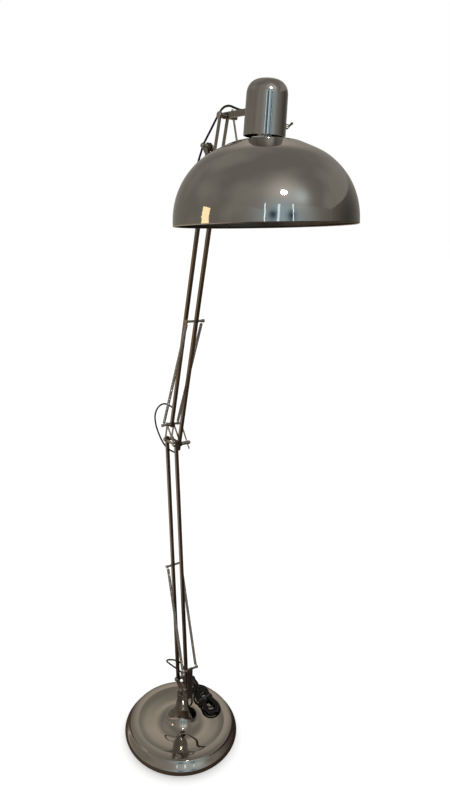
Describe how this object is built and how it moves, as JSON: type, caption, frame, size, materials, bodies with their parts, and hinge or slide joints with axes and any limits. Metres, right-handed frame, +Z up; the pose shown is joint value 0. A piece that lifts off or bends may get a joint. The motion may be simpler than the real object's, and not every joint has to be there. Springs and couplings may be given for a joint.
{
  "type": "spring-balanced floor lamp",
  "caption": "Tall floor lamp with a weighted round base, two spring-balanced parallelogram arms of square tube, clamp levers, and a tilting dome shade with a toggle switch.",
  "frame": {"origin": "centre of the round base, on the floor", "axes": "+Z up, +X from the base axis towards the lamp head, +Y across the arms; both arms move in the XZ plane"},
  "size_m": [0.7147, 0.4351, 2.0087],
  "materials": {
    "polished_shell": "polished dark nickel",
    "polished_tube": "polished dark nickel",
    "polished_fitting": "polished nickel",
    "polished_light_shell": "polished, dark nickel plated",
    "ballast": "as cast",
    "felt": "felt",
    "spring_steel": "nickel plated wire",
    "black_rubber": "matt",
    "black_plastic": "satin moulding",
    "black_cable": "satin flex",
    "ceramic": "glazed",
    "brass": "turned",
    "bulb_glass": "frosted"
  },
  "bodies": {
    "base": {"base_shell": "polished_shell", "base_ballast": "ballast", "base_foot_pad": "felt", "neck_collar": "polished_tube", "collar_set_screw": "polished_fitting", "lead_hank": "black_cable", "hank_tie": "black_plastic", "mains_plug": "black_plastic"},
    "swivel": {"swivel_post": "polished_tube", "base_cheek_near": "polished_tube", "base_cheek_far": "polished_tube", "base_bolts": "polished_fitting", "base_nuts": "polished_fitting", "base_bushes": "polished_fitting", "spring_upright": "polished_tube", "lower_spring_anchor": "polished_fitting", "cable_clip": "black_plastic", "base_loop_cable": "black_cable", "mains_lead": "black_cable"},
    "lower_front": {"lower_front_tube": "polished_tube", "lower_grommets": "black_rubber"},
    "lower_rear": {"lower_rear_tube": "polished_tube", "lower_crosspiece": "polished_fitting", "lower_spring_near": "spring_steel", "lower_spring_far": "spring_steel"},
    "elbow": {"elbow_plate_near": "polished_tube", "elbow_plate_far": "polished_tube", "elbow_top_rod": "polished_fitting", "elbow_bolts": "polished_fitting", "elbow_bushes": "polished_fitting", "elbow_nuts": "polished_fitting", "elbow_cable_top": "black_cable", "elbow_cable_bottom": "black_cable"},
    "elbow_clamp": {"elbow_lever": "polished_fitting"},
    "upper_front": {"upper_front_tube": "polished_tube", "upper_crosspiece": "polished_fitting", "upper_spring_near": "spring_steel", "upper_spring_far": "spring_steel"},
    "upper_rear": {"upper_rear_tube": "polished_tube", "upper_grommets": "black_rubber"},
    "head_bracket": {"fork_plate_near": "polished_tube", "fork_plate_far": "polished_tube", "head_bolts": "polished_fitting", "tilt_bolt": "polished_fitting", "head_bushes": "polished_fitting", "head_nuts": "polished_fitting", "head_cable": "black_cable", "neck_cable": "black_cable"},
    "tilt_clamp": {"tilt_lever": "polished_fitting"},
    "head": {"head_bar": "polished_tube", "cap": "polished_light_shell", "lampholder": "ceramic", "lampholder_stem": "brass", "shade": "polished_light_shell", "shade_ring": "polished_fitting", "bulb_glass": "bulb_glass", "bulb_cap": "brass", "switch_bush": "polished_fitting"},
    "switch": {"switch_lever": "polished_fitting"}
  },
  "joints": [
    {"name": "base_swivel", "type": "hinge", "parent": "base", "child": "swivel", "pos_m": [0, 0, 0.175], "axis": [0, 0, 1], "range_deg": [-170, 170], "deforming": ["mains_lead"]},
    {"name": "lower_arm", "type": "hinge", "parent": "swivel", "child": "lower_front", "pos_m": [0.0315, 0, 0.208], "axis": [0, 1, 0], "range_deg": [-35, 1], "deforming": ["base_loop_cable"]},
    {"name": "lower_rear_link", "type": "hinge", "parent": "swivel", "child": "lower_rear", "pos_m": [-0.0235, 0, 0.208], "axis": [0, 1, 0], "range_deg": [-35, 1], "deforming": ["lower_spring_near", "lower_spring_far"]},
    {"name": "elbow_level", "type": "hinge", "parent": "lower_front", "child": "elbow", "pos_m": [-0.0917, 0, 1.03235], "axis": [0, 1, 0], "range_deg": [-1, 35], "deforming": ["elbow_cable_bottom"]},
    {"name": "elbow_clamp_turn", "type": "hinge", "parent": "elbow", "child": "elbow_clamp", "pos_m": [-0.0917, 0, 1.03235], "axis": [0, 1, 0], "range_deg": [-30, 30]},
    {"name": "upper_arm", "type": "hinge", "parent": "elbow", "child": "upper_front", "pos_m": [-0.0917, 0, 1.03235], "axis": [0, 1, 0], "range_deg": [0, 65], "deforming": ["upper_spring_near", "upper_spring_far"]},
    {"name": "upper_rear_link", "type": "hinge", "parent": "elbow", "child": "upper_rear", "pos_m": [-0.1382, 0, 1.08335], "axis": [0, 1, 0], "range_deg": [0, 65], "deforming": ["elbow_cable_top"]},
    {"name": "head_level", "type": "hinge", "parent": "upper_rear", "child": "head_bracket", "pos_m": [-0.00309, 0, 1.88474], "axis": [0, 1, 0], "range_deg": [-65, 0], "deforming": ["neck_cable"]},
    {"name": "tilt_clamp_turn", "type": "hinge", "parent": "head_bracket", "child": "tilt_clamp", "pos_m": [0.06701, 0, 1.94973], "axis": [0, 1, 0], "range_deg": [-25, 25]},
    {"name": "head_tilt", "type": "hinge", "parent": "head_bracket", "child": "head", "pos_m": [0.06701, 0, 1.94973], "axis": [0, -1, 0], "range_deg": [0, 70], "deforming": ["head_cable"]},
    {"name": "switch_toggle", "type": "hinge", "parent": "head", "child": "switch", "pos_m": [0.26092, 0.04434, 1.91474], "axis": [-0.829, 0.5592, 0], "range_deg": [0, 60]}
  ],
  "couplings": [
    {"joint": "lower_rear_link", "follows": "lower_arm", "ratio": 1},
    {"joint": "elbow_level", "follows": "lower_arm", "ratio": -1},
    {"joint": "upper_rear_link", "follows": "upper_arm", "ratio": 1},
    {"joint": "head_level", "follows": "upper_arm", "ratio": -1}
  ]
}
